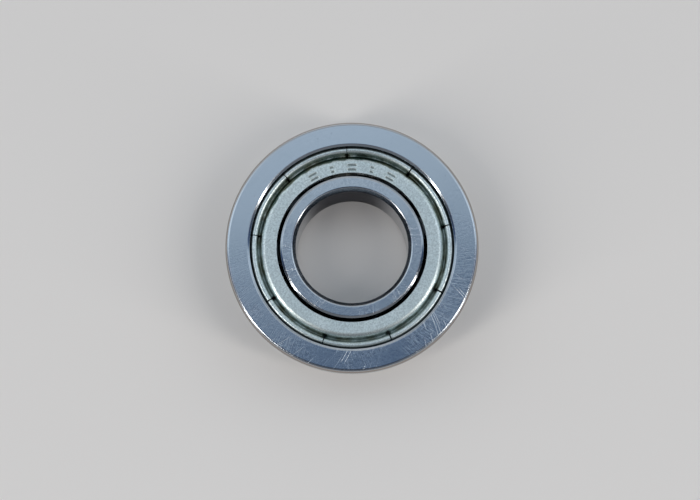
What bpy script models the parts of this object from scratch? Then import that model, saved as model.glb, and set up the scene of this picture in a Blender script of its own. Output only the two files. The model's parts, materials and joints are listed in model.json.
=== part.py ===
"""Flanged and shielded miniature ball bearing: 8 mm bore, 16 mm outside, 5 mm wide, 18 mm flange.

Units are metres and +Z is up, along the bearing's axis. The origin is the centre of the back face,
so the bearing stands on z = 0 with its flange at the top. "Front" is the flange side.

Pieces: outer ring with its flange, inner ring, nine balls, a pressed ribbon cage in two halves held
by nine rivets, and a pressed shield at each face.
"""

import math

import bmesh
import bpy
from mathutils import Matrix

MM = 0.001

# Boundary sizes
BORE_RADIUS = 4.0 * MM
OUTER_RADIUS = 8.0 * MM
WIDTH = 5.0 * MM
FLANGE_RADIUS = 9.0 * MM
FLANGE_THICKNESS = 1.1 * MM

# Broken edges: a plain name is the size across the face, and DEPTH is the size down the wall
BACK_CHAMFER = 0.2 * MM
BORE_CHAMFER = 0.26 * MM
BORE_CHAMFER_DEPTH = 0.32 * MM
INNER_FACE_CHAMFER = 0.15 * MM
INNER_FACE_CHAMFER_DEPTH = 0.12 * MM
FLANGE_CHAMFER = 0.17 * MM
FLANGE_CHAMFER_DEPTH = 0.28 * MM
FLANGE_UNDER_CHAMFER = 0.15 * MM
LIP_CHAMFER = 0.15 * MM
LIP_CHAMFER_DEPTH = 0.12 * MM

# Rolling set: the balls sit on the pitch circle, midway between the faces
BALL_COUNT = 9
BALL_RADIUS = 1.1905 * MM
PITCH_RADIUS = 6.0 * MM
MID_PLANE = WIDTH / 2
GROOVE_RADIUS = 1.23 * MM  # cross-section radius of both raceways, a little over the ball's
RUNNING_CLEARANCE = 0.02 * MM  # between a ball and the floor of each raceway

# Rings
INNER_LAND_RADIUS = 5.1 * MM
OUTER_LAND_RADIUS = 6.85 * MM
LIP_RADIUS = 7.27 * MM
LIP_DEPTH = 0.42 * MM  # from the face to the underside of the lip
SEAT_RADIUS = 7.45 * MM  # floor of the groove that the shield's rim snaps into
SEAT_SLOPE = 0.1 * MM
LEDGE_DEPTH = 0.9 * MM  # from the face to the ledge under the shield's rim
RELIEF_DEPTH = 0.12 * MM  # grinding relief in the corner between the flange and the outside
RELIEF_WIDTH = 0.25 * MM
RELIEF_RISE = 0.07 * MM  # how far the relief cuts up into the flange
RELIEF_OVERCUT = 0.03 * MM  # how far outside the wall the flange's flat seat starts

# Shields: pressed sheet whose curled rim is slit so that it springs into the outer ring
SHIELD_SHEET = 0.18 * MM
SHIELD_HOLE_RADIUS = 5.36 * MM
SHIELD_RECESS = 0.29 * MM  # from the ring's face to the middle of the flat sheet
SHOULDER_START = 6.12 * MM
SHOULDER_RADIUS = 0.3 * MM
SHOULDER_ARC = (-90, -15)
VALLEY_CENTRE = (6.64 * MM, 0.63 * MM)  # radius and depth of the fold between shoulder and rim
VALLEY_RADIUS = 0.15 * MM
VALLEY_ARC = (150, 30)
BEAD_CENTRE = (6.98 * MM, 0.41 * MM)
BEAD_RADIUS = 0.115 * MM
BEAD_ARC = (-170, -20)
RIM_FLARE = (7.14 * MM, 0.6 * MM)
RIM_EDGE = (7.33 * MM, 0.77 * MM)
SLIT_COUNT = 9
SLIT_OFFSET = math.radians(13)
SLIT_WIDTH = 0.1 * MM
NOTCH_RADIUS = 0.14 * MM

# Cage: two pressed ribbons, lands riveted face to face between the balls
CAGE_INSIDE = 5.4 * MM
CAGE_OUTSIDE = 6.6 * MM
CAGE_SHEET = 0.18 * MM
CAGE_JOINT_GAP = 0.02 * MM
POCKET_CLEARANCE = 0.1 * MM
RIVET_SHANK_RADIUS = 0.2 * MM
RIVET_HOLE_RADIUS = 0.24 * MM
RIVET_HEAD_RADIUS = 0.38 * MM
RIVET_HEAD_HEIGHT = 0.14 * MM
RIVET_CROWN_RADIUS = 0.6 * RIVET_HEAD_RADIUS
RIVET_HEAD_GAP = 0.02 * MM

# How finely round shapes are divided
RING_SEGMENTS = 72
SHIELD_SEGMENTS = 45
RACEWAY_STEPS = 6
BALL_SEGMENTS = 16
BALL_RINGS = 10
POCKET_STEPS = 6
CAGE_STRIPS = 3
RIVET_SEGMENTS = 8
NOTCH_SIDES = 8
SHOULDER_STEPS = 3
VALLEY_STEPS = 2
BEAD_STEPS = 3
WELD = 0.0002 * MM
CUTTER_HEIGHT = 4 * WIDTH  # tall enough to pass through everything

BALL_PITCH = math.tau / BALL_COUNT


def material(name, colour, roughness):
    """A bare metal of one colour."""
    metal = bpy.data.materials.new(name)
    metal.use_nodes = True
    shader = metal.node_tree.nodes["Principled BSDF"]
    shader.inputs["Base Color"].default_value = (*colour, 1)
    shader.inputs["Metallic"].default_value = 1.0
    shader.inputs["Roughness"].default_value = roughness
    return metal


def link_mesh(name, bm, metal, smooth_angle=35):
    """An object made from a bmesh, with smooth round walls and sharp corners."""
    mesh = bpy.data.meshes.new(name)
    bm.to_mesh(mesh)
    bm.free()
    mesh.shade_smooth()
    mesh.set_sharp_from_angle(angle=math.radians(smooth_angle))
    if metal:
        mesh.materials.append(metal)
    item = bpy.data.objects.new(name, mesh)
    bpy.context.collection.objects.link(item)
    return item


def axis_empty(name, location=(0, 0, 0), parent=None):
    """An empty that marks the axis of a moving body."""
    empty = bpy.data.objects.new(name, None)
    empty.empty_display_size = 2 * MM
    empty.location = location
    empty.parent = parent
    bpy.context.collection.objects.link(empty)
    return empty


def arc(centre, radius, start, end, steps):
    """Points along an arc from angle start to angle end, in degrees."""
    points = []
    for step in range(steps + 1):
        angle = math.radians(start + (end - start) * step / steps)
        points.append((centre[0] + radius * math.cos(angle), centre[1] + radius * math.sin(angle)))
    return points


def turned(outline, segments):
    """A closed outline of (radius, height) points spun about the Z axis."""
    bm = bmesh.new()
    verts = [bm.verts.new((radius, 0, height)) for radius, height in outline]
    edges = [bm.edges.new((verts[i - 1], verts[i])) for i in range(len(verts))]
    bmesh.ops.spin(bm, geom=verts + edges, cent=(0, 0, 0), axis=(0, 0, 1), angle=math.tau,
                   steps=segments, use_merge=True)
    bmesh.ops.remove_doubles(bm, verts=bm.verts[:], dist=WELD)
    bmesh.ops.dissolve_degenerate(bm, edges=bm.edges[:], dist=WELD)
    bmesh.ops.recalc_face_normals(bm, faces=bm.faces[:])
    return bm


def mirrored(points):
    """The same outline points seen from the other face, in reverse order."""
    return [(radius, WIDTH - height) for radius, height in reversed(points)]


def raceway(land_radius, direction):
    """The raceway's arc from the back to the front: +1 on the outer ring, -1 on the inner."""
    floor = PITCH_RADIUS + direction * (BALL_RADIUS + RUNNING_CLEARANCE)
    centre = floor - direction * GROOVE_RADIUS
    half_angle = math.degrees(math.acos(direction * (land_radius - centre) / GROOVE_RADIUS))
    toward_floor = 0 if direction > 0 else 180
    return arc((centre, MID_PLANE), GROOVE_RADIUS, toward_floor - direction * half_angle,
               toward_floor + direction * half_angle, RACEWAY_STEPS)


def inner_ring_outline():
    """Inner ring: chamfered bore, two ground faces and the inner raceway."""
    back = [
        (BORE_RADIUS, BORE_CHAMFER_DEPTH),
        (BORE_RADIUS + BORE_CHAMFER, 0),
        (INNER_LAND_RADIUS - INNER_FACE_CHAMFER, 0),
        (INNER_LAND_RADIUS, INNER_FACE_CHAMFER_DEPTH),
    ]
    return back + raceway(INNER_LAND_RADIUS, -1) + mirrored(back)


def shield_seat():
    """The back end of the outer ring's inside, from the ledge out to the face."""
    return [
        (OUTER_LAND_RADIUS, LEDGE_DEPTH),
        (SEAT_RADIUS, LEDGE_DEPTH),
        (SEAT_RADIUS, LIP_DEPTH + SEAT_SLOPE),
        (LIP_RADIUS, LIP_DEPTH),
        (LIP_RADIUS, LIP_CHAMFER_DEPTH),
        (LIP_RADIUS + LIP_CHAMFER, 0),
    ]


def outer_ring_outline():
    """Outer ring: outside wall, flange with its corner relief, both shield seats and the raceway."""
    seat_height = WIDTH - FLANGE_THICKNESS
    relief_radius = OUTER_RADIUS - RELIEF_DEPTH
    outside = [
        (OUTER_RADIUS - BACK_CHAMFER, 0),
        (OUTER_RADIUS, BACK_CHAMFER),
        (OUTER_RADIUS, seat_height - RELIEF_WIDTH - RELIEF_DEPTH),
        (relief_radius, seat_height - RELIEF_WIDTH),
        (relief_radius, seat_height + RELIEF_RISE),
        (OUTER_RADIUS + RELIEF_OVERCUT, seat_height),
        (FLANGE_RADIUS - FLANGE_UNDER_CHAMFER, seat_height),
        (FLANGE_RADIUS, seat_height + FLANGE_UNDER_CHAMFER),
        (FLANGE_RADIUS, WIDTH - FLANGE_CHAMFER_DEPTH),
        (FLANGE_RADIUS - FLANGE_CHAMFER, WIDTH),
    ]
    back_seat = shield_seat()
    raceway_down = list(reversed(raceway(OUTER_LAND_RADIUS, 1)))
    return outside + mirrored(back_seat) + raceway_down + back_seat


def shield_centre_line():
    """(radius, depth below the ring's face) along the middle of the shield's sheet, hole to rim."""
    shoulder_centre = (SHOULDER_START, SHIELD_RECESS + SHOULDER_RADIUS)
    return (
        [(SHIELD_HOLE_RADIUS, SHIELD_RECESS)]
        + arc(shoulder_centre, SHOULDER_RADIUS, *SHOULDER_ARC, SHOULDER_STEPS)
        + arc(VALLEY_CENTRE, VALLEY_RADIUS, *VALLEY_ARC, VALLEY_STEPS)
        + arc(BEAD_CENTRE, BEAD_RADIUS, *BEAD_ARC, BEAD_STEPS)
        + [RIM_FLARE, RIM_EDGE]
    )


def sheet_outline(centre_line, thickness):
    """A closed outline around an open line of points, half the thickness to each side."""
    left, right = [], []
    last = len(centre_line) - 1
    for i, (x, y) in enumerate(centre_line):
        before = centre_line[max(i - 1, 0)]
        after = centre_line[min(i + 1, last)]
        heading_in = math.atan2(y - before[1], x - before[0])
        heading_out = math.atan2(after[1] - y, after[0] - x)
        heading_in = heading_out if i == 0 else heading_in
        heading_out = heading_in if i == last else heading_out
        turn = math.remainder(heading_out - heading_in, math.tau)
        normal = heading_in + turn / 2 + math.pi / 2
        reach = thickness / 2 / math.cos(turn / 2)
        offset = (reach * math.cos(normal), reach * math.sin(normal))
        left.append((x + offset[0], y + offset[1]))
        right.append((x - offset[0], y - offset[1]))
    return left + right[::-1]


def ball():
    """One ball about its own centre."""
    bm = bmesh.new()
    bmesh.ops.create_uvsphere(bm, u_segments=BALL_SEGMENTS, v_segments=BALL_RINGS, radius=BALL_RADIUS)
    return bm


def pocket_point(radius, along, sphere_radius, land_height):
    """Angle and height of a pocket's wall at a radius from the bearing's axis.

    along runs from -1 to 1 over the pocket; the wall is part of a sphere about the ball's centre and
    meets the land at land_height.
    """
    reach = sphere_radius**2 - land_height**2
    edge = math.acos((radius**2 + PITCH_RADIUS**2 - reach) / (2 * radius * PITCH_RADIUS))
    angle = edge * math.sin(along * math.pi / 2)
    distance = radius**2 + PITCH_RADIUS**2 - 2 * radius * PITCH_RADIUS * math.cos(angle)
    height = math.sqrt(max(sphere_radius**2 - distance, land_height**2))
    return angle, height


def ribbon_column(bm, pocket_angle, along):
    """The ring of vertices round one cross-section of the ribbon; along is None mid-land."""
    inside = BALL_RADIUS + POCKET_CLEARANCE
    walls = ((inside, CAGE_JOINT_GAP / 2), (inside + CAGE_SHEET, CAGE_JOINT_GAP / 2 + CAGE_SHEET))
    rows = []
    for sphere_radius, land_height in walls:
        row = []
        for strip in range(CAGE_STRIPS + 1):
            radius = CAGE_INSIDE + (CAGE_OUTSIDE - CAGE_INSIDE) * strip / CAGE_STRIPS
            angle, height = BALL_PITCH / 2, land_height
            if along is not None:
                angle, height = pocket_point(radius, along, sphere_radius, land_height)
            angle += pocket_angle
            row.append(bm.verts.new((radius * math.cos(angle), radius * math.sin(angle), height)))
        rows.append(row)
    return rows[0] + rows[1][::-1]


def ribbon():
    """One cage half above its joint plane: flat lands joined by a spherical pocket over each ball."""
    bm = bmesh.new()
    columns = []
    for pocket in range(BALL_COUNT):
        for step in range(POCKET_STEPS + 1):
            columns.append(ribbon_column(bm, pocket * BALL_PITCH, 2 * step / POCKET_STEPS - 1))
        columns.append(ribbon_column(bm, pocket * BALL_PITCH, None))
    for i, column in enumerate(columns):
        before = columns[i - 1]
        for j in range(len(column)):
            bm.faces.new((before[j - 1], before[j], column[j], column[j - 1]))
    bmesh.ops.recalc_face_normals(bm, faces=bm.faces[:])
    return bm


def rivet_outline():
    """A rivet about its own middle: a shank with a flattened dome at each end."""
    grip = CAGE_JOINT_GAP / 2 + CAGE_SHEET + RIVET_HEAD_GAP
    upper = [
        (RIVET_SHANK_RADIUS, grip),
        (RIVET_HEAD_RADIUS, grip),
        (RIVET_CROWN_RADIUS, grip + RIVET_HEAD_HEIGHT),
        (0, grip + RIVET_HEAD_HEIGHT),
    ]
    return upper + [(radius, -height) for radius, height in reversed(upper)]


def cutter(name, bm):
    """A guide object that is only subtracted from others."""
    item = link_mesh(name, bm, None)
    item.hide_render = True
    item.display_type = "WIRE"
    return item


def cut(item, tool):
    """Take the tool's volume out of an object."""
    modifier = item.modifiers.new(tool.name, "BOOLEAN")
    modifier.operation = "DIFFERENCE"
    modifier.object = tool


def add_prism(bm, radius, angle, prism_radius, sides):
    """A tall upright prism centred on z = 0, at a radius and angle from the axis."""
    made = bmesh.ops.create_cone(bm, cap_ends=True, segments=sides, radius1=prism_radius,
                                 radius2=prism_radius, depth=CUTTER_HEIGHT)
    bmesh.ops.translate(bm, verts=made["verts"],
                        vec=(radius * math.cos(angle), radius * math.sin(angle), 0))


def slit_cutters():
    """The rim's narrow slits, and the round notch where each slit ends in the fold."""
    slits, notches = bmesh.new(), bmesh.new()
    inner_end = VALLEY_CENTRE[0]
    length = SEAT_RADIUS - inner_end
    for k in range(SLIT_COUNT):
        angle = SLIT_OFFSET + k * math.tau / SLIT_COUNT
        made = bmesh.ops.create_cube(slits, size=1)["verts"]
        bmesh.ops.scale(slits, verts=made, vec=(length, SLIT_WIDTH, CUTTER_HEIGHT))
        bmesh.ops.translate(slits, verts=made, vec=(inner_end + length / 2, 0, 0))
        bmesh.ops.rotate(slits, verts=made, cent=(0, 0, 0), matrix=Matrix.Rotation(angle, 3, "Z"))
        add_prism(notches, inner_end, angle, NOTCH_RADIUS, NOTCH_SIDES)
    return cutter("slit_cutter", slits), cutter("notch_cutter", notches)


def rivet_hole_cutter():
    """A hole through every land of the cage, midway between two balls."""
    holes = bmesh.new()
    for k in range(BALL_COUNT):
        add_prism(holes, PITCH_RADIUS, (k + 0.5) * BALL_PITCH, RIVET_HOLE_RADIUS, RIVET_SEGMENTS)
    return cutter("rivet_hole_cutter", holes)


def build_rings(steel):
    """The two ground rings."""
    link_mesh("outer_ring", turned(outer_ring_outline(), RING_SEGMENTS), steel)
    inner_ring = link_mesh("inner_ring", turned(inner_ring_outline(), RING_SEGMENTS), steel)
    inner_ring.parent = axis_empty("inner_axis")


def build_shields(sheet_metal):
    """A slit and curled shield at each face, mirror images of each other."""
    tools = slit_cutters()
    outline = sheet_outline(shield_centre_line(), SHIELD_SHEET)
    front = [(radius, WIDTH - depth) for radius, depth in outline]
    for name, side in (("shield_front", front), ("shield_back", outline)):
        shield = link_mesh(name, turned(side, SHIELD_SEGMENTS), sheet_metal)
        for tool in tools:
            cut(shield, tool)


def build_cage(sheet_metal, rivet_metal):
    """Both cage halves and their rivets, carried by one empty on the bearing's axis."""
    cage_axis = axis_empty("cage_axis", (0, 0, MID_PLANE))
    holes = rivet_hole_cutter()
    for name, flip in (("cage_half_front", 0), ("cage_half_back", math.pi)):
        half = link_mesh(name, ribbon(), sheet_metal)
        half.rotation_euler.x = flip
        half.parent = cage_axis
        cut(half, holes)
    rivet_mesh = None
    for k in range(BALL_COUNT):
        angle = (k + 0.5) * BALL_PITCH
        name = f"rivet_{k + 1}"
        if rivet_mesh:
            rivet = bpy.data.objects.new(name, rivet_mesh)
            bpy.context.collection.objects.link(rivet)
        else:
            rivet = link_mesh(name, turned(rivet_outline(), RIVET_SEGMENTS), rivet_metal)
            rivet_mesh = rivet.data
        rivet.location = (PITCH_RADIUS * math.cos(angle), PITCH_RADIUS * math.sin(angle), 0)
        rivet.rotation_euler.z = angle
        rivet.parent = cage_axis
    return cage_axis


def build_balls(steel, cage_axis):
    """The balls, each with its origin on its own spin axis, carried round by the cage."""
    ball_mesh = None
    for k in range(BALL_COUNT):
        name = f"ball_{k + 1}"
        if ball_mesh:
            item = bpy.data.objects.new(name, ball_mesh)
            bpy.context.collection.objects.link(item)
        else:
            item = link_mesh(name, ball(), steel)
            ball_mesh = item.data
        angle = k * BALL_PITCH
        item.location = (PITCH_RADIUS * math.cos(angle), PITCH_RADIUS * math.sin(angle), 0)
        item.parent = cage_axis


def build_bearing():
    """Clear the scene and make every piece."""
    for item in list(bpy.data.objects):
        bpy.data.objects.remove(item)
    ring_steel = material("ground_ring_steel", (0.3, 0.36, 0.42), 0.28)
    ball_steel = material("polished_ball_steel", (0.6, 0.62, 0.64), 0.06)
    shield_steel = material("pressed_shield_steel", (0.42, 0.5, 0.52), 0.42)
    cage_steel = material("pressed_cage_steel", (0.45, 0.46, 0.46), 0.35)
    rivet_steel = material("rivet_steel", (0.5, 0.5, 0.49), 0.3)
    build_rings(ring_steel)
    build_shields(shield_steel)
    cage_axis = build_cage(cage_steel, rivet_steel)
    build_balls(ball_steel, cage_axis)


build_bearing()
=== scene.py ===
"""Looks of a flanged, shielded miniature ball bearing, standing flange up on a pale floor."""

import json
import math
import random

import bmesh
import bpy
from mathutils import Matrix, Vector

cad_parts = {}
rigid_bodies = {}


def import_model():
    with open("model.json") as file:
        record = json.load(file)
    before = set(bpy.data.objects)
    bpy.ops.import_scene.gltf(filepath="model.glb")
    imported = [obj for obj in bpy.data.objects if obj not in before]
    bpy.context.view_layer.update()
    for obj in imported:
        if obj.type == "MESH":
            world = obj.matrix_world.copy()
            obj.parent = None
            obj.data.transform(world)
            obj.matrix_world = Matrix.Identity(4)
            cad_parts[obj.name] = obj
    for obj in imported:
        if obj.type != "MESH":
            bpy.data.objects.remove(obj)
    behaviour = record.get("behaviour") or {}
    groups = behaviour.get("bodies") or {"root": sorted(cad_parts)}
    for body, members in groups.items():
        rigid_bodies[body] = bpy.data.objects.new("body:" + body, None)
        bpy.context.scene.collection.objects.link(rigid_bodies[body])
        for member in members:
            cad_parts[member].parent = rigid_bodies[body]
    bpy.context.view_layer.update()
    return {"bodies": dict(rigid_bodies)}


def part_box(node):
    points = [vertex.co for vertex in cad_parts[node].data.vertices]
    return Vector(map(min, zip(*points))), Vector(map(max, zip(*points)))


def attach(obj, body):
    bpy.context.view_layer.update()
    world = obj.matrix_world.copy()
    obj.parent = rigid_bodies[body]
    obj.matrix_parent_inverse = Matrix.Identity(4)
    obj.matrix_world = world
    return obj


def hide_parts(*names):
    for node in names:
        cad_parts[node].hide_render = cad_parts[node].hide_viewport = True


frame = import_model()

MM = 0.001
rng = random.Random(8165)

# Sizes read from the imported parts
RING_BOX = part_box("outer_ring")
INNER_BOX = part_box("inner_ring")
SHIELD_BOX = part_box("shield_front")
CAGE_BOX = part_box("cage_half_front")
BALL_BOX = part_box("ball_1")
WIDTH = RING_BOX[1][2]
FLANGE_RADIUS = RING_BOX[1][0]
INNER_LAND_RADIUS = INNER_BOX[1][0]
RIM_REACH = SHIELD_BOX[1][0]
BALL_RADIUS = (BALL_BOX[1][2] - BALL_BOX[0][2]) / 2
PITCH_RADIUS = BALL_BOX[1][0] - BALL_RADIUS
MID_PLANE = WIDTH / 2
BALL_COUNT = sum(name.startswith("ball_") for name in frame["bodies"])
BALL_PITCH = math.tau / BALL_COUNT

# Rings, as in the CAD part
BORE_RADIUS = 4.0 * MM
BORE_CHAMFER = 0.26 * MM
BORE_CHAMFER_DEPTH = 0.32 * MM
INNER_FACE_CHAMFER = 0.15 * MM
INNER_FACE_CHAMFER_DEPTH = 0.12 * MM
OUTER_RADIUS = 8.0 * MM
FLANGE_THICKNESS = 1.1 * MM
BACK_CHAMFER = 0.2 * MM
FLANGE_CHAMFER = 0.17 * MM
FLANGE_CHAMFER_DEPTH = 0.28 * MM
FLANGE_UNDER_CHAMFER = 0.15 * MM
RELIEF_DEPTH = 0.12 * MM
RELIEF_WIDTH = 0.25 * MM
RELIEF_RISE = 0.07 * MM
RELIEF_OVERCUT = 0.03 * MM
OUTER_LAND_RADIUS = 6.85 * MM
LIP_RADIUS = 7.27 * MM
LIP_CHAMFER = 0.15 * MM
LIP_CHAMFER_DEPTH = 0.12 * MM
LIP_DEPTH = 0.42 * MM
SEAT_RADIUS = 7.45 * MM
SEAT_SLOPE = 0.1 * MM
LEDGE_DEPTH = 0.9 * MM
GROOVE_RADIUS = 1.23 * MM
RUNNING_CLEARANCE = 0.02 * MM

# Radii that round the rings' corners
EDGE_ROUND = 0.03 * MM
CHAMFER_ROUND = 0.06 * MM
WIDE_CHAMFER_ROUND = 0.1 * MM
BORE_ROUND = 0.14 * MM
FLANGE_ROUND = 0.2 * MM

# Shield sheet, as in the CAD part
SHIELD_SHEET = 0.18 * MM
SHIELD_HOLE_RADIUS = 5.36 * MM
SHIELD_RECESS = 0.29 * MM
SHOULDER_START = 6.12 * MM
SHOULDER_RADIUS = 0.3 * MM
VALLEY_CENTRE = (6.64 * MM, 0.63 * MM)
VALLEY_RADIUS = 0.15 * MM
BEAD_CENTRE = (6.98 * MM, 0.41 * MM)
BEAD_RADIUS = 0.115 * MM
RIM_FLARE = (7.14 * MM, 0.6 * MM)
RIM_EDGE = (7.33 * MM, 0.77 * MM)
SLIT_COUNT = 9
SLIT_OFFSET = math.radians(13)
SLIT_SECTOR = math.tau / SLIT_COUNT

# The curves along the sheet: the angles at which each starts and ends
SHOULDER_ARC = (-90, -12)
VALLEY_ARC = (165, 20)
BEAD_ARC = (-172, -15)

# Slits of the shield's rim: hairlines that open to a notch in the fold
SLIT_WIDTH = 0.085 * MM
SLIT_OPENNESS = (0.6, 1.15)  # the least and most that a slit's width is multiplied by
NOTCH_WIDTH = 0.22 * MM
NOTCH_REACH = 0.085 * MM  # how far from the fold a notch has mostly closed
SHEET_EDGE_BEVEL = 0.012 * MM
SLIT_START = VALLEY_CENTRE[0] - 0.13 * MM  # radius at which the slits begin
SLIT_COLUMN_ANGLE = math.radians(0.4)  # from a slit's middle to the column of mesh at its edge
SLIT_PULL_ANGLE = 0.03  # how far beside a slit, in radians, the columns follow its edge
RIM_SPREAD = 0.012 * MM  # how far one stretch of rim may stand from the next
RIM_FREE_ROWS = 14  # rows of mesh over which a stretch of rim comes free of the sheet

# Stamped marks on the front shield
MARK_COUNT = 5
MARK_ANGLE = math.radians(90)
MARK_SPAN = math.radians(57)
MARK_RING = (SHIELD_HOLE_RADIUS + SHOULDER_START) / 2
MARK_DEPTH = 0.06 * MM
MARK_STROKE = 0.075 * MM
DASH_HALF_LENGTH = 0.26 * MM
DOT_HALF_LENGTH = 0.07 * MM
MARK_OFFSET = 0.16 * MM

# Cage and rivets, as in the CAD part
CAGE_INSIDE = 5.4 * MM
CAGE_OUTSIDE = CAGE_BOX[1][0]
CAGE_SHEET = 0.18 * MM
CAGE_JOINT_GAP = 0.02 * MM
POCKET_CLEARANCE = 0.1 * MM
RIVET_SHANK_RADIUS = 0.2 * MM
RIVET_HOLE_RADIUS = 0.24 * MM
RIVET_HEAD_RADIUS = 0.38 * MM
RIVET_HEAD_HEIGHT = 0.14 * MM
RIVET_HEAD_GAP = 0.02 * MM

# Cage and rivets, finer than in the CAD part
CAGE_EDGE_BEVEL = 0.02 * MM
RIVET_CROWN_RADIUS = 0.8 * RIVET_HEAD_RADIUS
RIVET_BRIM = 0.05 * MM

# Wear and painted highlight: the side of the rings that carries most of the bright handling scratches,
# partly real wear and partly a highlight painted where the light catches them, and where along it they
# set in and are full
WORN_AND_LIT_SIDE = (0.2, -0.98, 0.0)
WEAR_AND_GLINT_START = -4 * MM
WEAR_AND_GLINT_FULL = 7 * MM
OUTER_CALM = 0.12  # share of the wear and painted highlight that the outer ring's other side has
INNER_CALM = 0.5  # the same for the inner ring

# Oil: the side towards which it has run in the shield's fold, and how far inwards it has spread there
OILED_SIDE = (-0.34, 0.94, 0.0)
OIL_RUN = 0.15 * MM
PUDDLE_REACH = (0.14, 0.3)  # in millimetres: the least and most that oil has spread from a notch
PUDDLE_SQUEEZE = 1.6  # how much further it has spread along the fold than across it
BORE_SHADED_SIDE = (-0.12, 0.99, 0.0)  # the side of the bore's wall where its painted shade is darkest

# Colours of the rings and of what lies on them, with the shade and glints that are painted on them
RING_LIGHT = (0.57, 0.61, 0.65)
RING_DARK = (0.52, 0.56, 0.6)
INNER_LIGHT = (0.58, 0.61, 0.64)
INNER_DARK = (0.53, 0.56, 0.59)
GRIME = (0.27, 0.31, 0.37)
# Scratches are painted bright: a painted highlight on real scratches
SCRATCH_AND_GLINT = (0.88, 0.9, 0.92)
# Painted shade: the flange's front chamfer darkened to the tone of the shadowed floor that it mirrors
PAINTED_EDGE_SHADE = (0.36, 0.33, 0.31)
SPECK = (0.14, 0.17, 0.2)
# A painted glint on the dents
PAINTED_DING_GLINT = (0.9, 0.92, 0.93)
BORE_SHADE = (0.17, 0.18, 0.2)
# Painted shade inside the bearing, partly a dark lubricant layer, and how it dims the steel seen edge-on
RING_LUBRICANT_AND_SHADE = (0.03, 0.055, 0.065)
RING_LUBRICANT_AND_SHADE_EDGE_ON = (0.3, 0.3, 0.32)

# Colours of the shields and of what lies on them, with the shade that is painted on them
SHEET_DARK = (0.74, 0.83, 0.82)
SHEET_LIGHT = (0.84, 0.92, 0.9)
SHEET_GRAIN = (0.44, 0.51, 0.51)
STAMP_SHADE = (0.1, 0.13, 0.13)
OIL_DARK = (0.045, 0.085, 0.066)
OIL_BROWN = (0.14, 0.15, 0.095)
# Painted shade at the lower edge of a shield's hole, partly lubricant, and how it and the oil dim the
# sheet edge-on
SHEET_LUBRICANT_AND_SHADE = (0.03, 0.035, 0.035)
SHEET_LUBRICANT_AND_SHADE_EDGE_ON = (0.25, 0.25, 0.25)

# Colours of the pieces inside
BALL_COLOUR = (0.5, 0.51, 0.52)
BALL_TRACK = (0.42, 0.43, 0.45)
CAGE_DARK = (0.5, 0.51, 0.5)
CAGE_LIGHT = (0.62, 0.62, 0.6)
CAGE_DRAWN = (0.74, 0.74, 0.72)
RIVET_DARK = (0.5, 0.5, 0.49)
RIVET_LIGHT = (0.66, 0.66, 0.64)

# Room light: colour by how far a direction leans towards +Y, and the extra light high at both sides
SKY_STOPS = (
    (-1.0, (0.22, 0.23, 0.25)),
    (-0.7, (0.13, 0.14, 0.16)),
    (-0.2, (0.035, 0.045, 0.065)),
    (0.05, (0.03, 0.07, 0.17)),
    (0.1, (0.1, 0.16, 0.27)),
    (0.135, (0.38, 0.49, 0.6)),
    (0.165, (0.57, 0.68, 0.78)),
    (0.25, (0.6, 0.72, 0.86)),
    (0.4, (0.6, 0.69, 0.78)),
    (0.6, (0.4, 0.43, 0.46)),
    (0.85, (0.4, 0.43, 0.46)),
    (1.0, (0.65, 0.67, 0.7)),
)
SKY_LEAN = -0.17  # how much a direction's X counts beside its Y
SKY_LEAN_REACH = 0.15  # the largest X that counts
SIDE_SKY = 0.45
SIDE_SKY_WIDTH = (0.15, 0.6)  # how far to the side a direction leans where that light starts and is full
SIDE_SKY_HEIGHT = (0.3, 0.8)  # and how far it leans upwards

# Floor
FLOOR_RADIUS = 2.0
FLOOR_DROP = 0.01 * MM  # keeps it clear of the ring's back face
FLOOR_COLOUR = (0.86, 0.815, 0.77)

# Two tall windows at the sides: name, azimuth in degrees from +X towards +Y, and power in watts
WINDOWS = (("left_window", 208.5, 0.36), ("right_window", -22, 0.31))
WINDOW_ELEVATION = 38
WINDOW_DISTANCE = 350 * MM
WINDOW_SIZE = (45 * MM, 357 * MM)
WINDOW_COLOUR = (1.0, 0.98, 0.95)

# Camera
CAMERA_ELEVATION = math.radians(82)
CAMERA_DISTANCE = 150 * MM
CAMERA_TARGET = (-0.14 * MM, -0.25 * MM, WIDTH)
FRAME_WIDTH = 49.65 * MM
SENSOR_WIDTH = 36  # in millimetres, as Blender counts it

# Fineness of the meshes
RING_SEGMENTS = 288
FLAT_STEPS = 24
RACEWAY_STEPS = 40
FILLET_STEPS = 5
SHOULDER_STEPS = 9
VALLEY_STEPS = 8
BEAD_STEPS = 9
FINE_COLUMNS = 130  # of a shield's mesh between two slits, where the marks are stamped
COARSE_COLUMNS = 34  # and elsewhere
COLUMN_CROWDING = 0.12  # how strongly they crowd towards the slits there
BALL_CUTS = 15
POCKET_STEPS = 28
LAND_STEPS = 8
RIBBON_STRIPS = 14
DOME_STEPS = 8
RIVET_SEGMENTS = 40
RIVET_HOLE_SEGMENTS = 32
EDGE_LOOP_REACH = 0.012 * MM  # from the end of a straight to the loop that keeps it flat
NEARLY_STRAIGHT = math.radians(165)  # a corner this open is not rounded
WELD = 0.0001 * MM


# ---------------------------------------------------------------- mesh helpers

def new_piece(name, bm, metal, smooth_angle=40):
    """An object made from a bmesh, shaded smooth with its real corners kept sharp."""
    mesh = bpy.data.meshes.new(name)
    bm.to_mesh(mesh)
    bm.free()
    mesh.shade_smooth()
    mesh.set_sharp_from_angle(angle=math.radians(smooth_angle))
    mesh.materials.append(metal)
    piece = bpy.data.objects.new(name, mesh)
    bpy.context.collection.objects.link(piece)
    return piece


def stand_in(piece, node, body):
    """Let a detailed piece stand for a CAD node and ride on its body."""
    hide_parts(node)
    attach(piece, body)


def arc(centre, radius, start, end, steps):
    """Points along an arc from angle start to angle end, in degrees."""
    points = []
    for step in range(steps + 1):
        angle = math.radians(start + (end - start) * step / steps)
        points.append((centre[0] + radius * math.cos(angle), centre[1] + radius * math.sin(angle)))
    return points


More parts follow.
